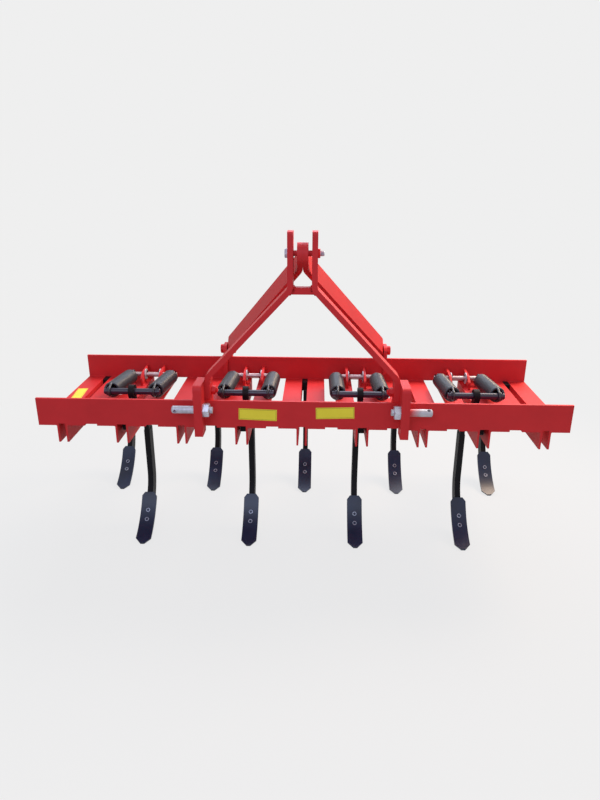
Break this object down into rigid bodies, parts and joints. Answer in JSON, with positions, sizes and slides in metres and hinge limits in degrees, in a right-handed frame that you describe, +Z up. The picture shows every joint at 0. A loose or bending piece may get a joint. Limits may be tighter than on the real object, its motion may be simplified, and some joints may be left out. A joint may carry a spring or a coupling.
{
  "type": "spring tine cultivator",
  "caption": "Mounted cultivator: a row of spring-loaded tines and a row of fixed ones on an angle-iron frame under a three-point linkage mast.",
  "frame": {"origin": "on the ground at the centre of the bounding box, under the frame", "axes": "+X to the right seen from the tractor, +Y rearwards away from the tractor, +Z up"},
  "size_m": [1.9746, 0.945, 1.299],
  "materials": {
    "red_paint": "gloss enamel",
    "dark_paint": "satin enamel",
    "spring_enamel": "gloss enamel",
    "zinc": "bright zinc",
    "bright_steel": "drawn steel"
  },
  "bodies": {
    "frame": {"front_rail": "red_paint", "rear_rail": "red_paint", "cross_angles_front_row": "red_paint", "cross_angles_rear_row": "red_paint", "tine_bolts_front_row": "zinc", "tine_bolts_rear_row": "zinc", "spring_lugs": "red_paint", "spring_rods": "bright_steel", "hitch_plate_left": "red_paint", "hitch_plate_right": "red_paint", "hitch_pin_left": "zinc", "hitch_pin_right": "zinc", "hitch_nuts": "zinc", "mast_bar_left": "red_paint", "mast_bar_right": "red_paint", "mast_spacer": "red_paint", "stay_left": "red_paint", "stay_right": "red_paint", "stay_bracket_left": "red_paint", "stay_bracket_right": "red_paint", "frame_bolts": "zinc", "tine_1": "dark_paint", "shovel_1": "dark_paint", "springs_2": "spring_enamel", "tine_3": "dark_paint", "shovel_3": "dark_paint", "springs_4": "spring_enamel", "tine_5": "dark_paint", "shovel_5": "dark_paint", "springs_6": "spring_enamel", "tine_7": "dark_paint", "shovel_7": "dark_paint", "springs_8": "spring_enamel", "tine_9": "dark_paint", "shovel_9": "dark_paint"},
    "sprung_tine_2": {"tine_2": "dark_paint", "shovel_2": "dark_paint", "draw_bar_2": "dark_paint"},
    "sprung_tine_4": {"tine_4": "dark_paint", "shovel_4": "dark_paint", "draw_bar_4": "dark_paint"},
    "sprung_tine_6": {"tine_6": "dark_paint", "shovel_6": "dark_paint", "draw_bar_6": "dark_paint"},
    "sprung_tine_8": {"tine_8": "dark_paint", "shovel_8": "dark_paint", "draw_bar_8": "dark_paint"}
  },
  "joints": [
    {"name": "tine_pivot_2", "type": "hinge", "parent": "frame", "child": "sprung_tine_2", "pos_m": [-0.675, -0.2355, 0.557], "axis": [1, 0, 0], "range_deg": [0, 20], "stiffness_Nm_per_rad": 570, "springref_deg": -11.06, "deforming": ["springs_2"]},
    {"name": "tine_pivot_4", "type": "hinge", "parent": "frame", "child": "sprung_tine_4", "pos_m": [-0.225, -0.2355, 0.557], "axis": [1, 0, 0], "range_deg": [0, 20], "stiffness_Nm_per_rad": 570, "springref_deg": -11.06, "deforming": ["springs_4"]},
    {"name": "tine_pivot_6", "type": "hinge", "parent": "frame", "child": "sprung_tine_6", "pos_m": [0.225, -0.2355, 0.557], "axis": [1, 0, 0], "range_deg": [0, 20], "stiffness_Nm_per_rad": 570, "springref_deg": -11.06, "deforming": ["springs_6"]},
    {"name": "tine_pivot_8", "type": "hinge", "parent": "frame", "child": "sprung_tine_8", "pos_m": [0.675, -0.2355, 0.557], "axis": [1, 0, 0], "range_deg": [0, 20], "stiffness_Nm_per_rad": 570, "springref_deg": -11.06, "deforming": ["springs_8"]}
  ]
}
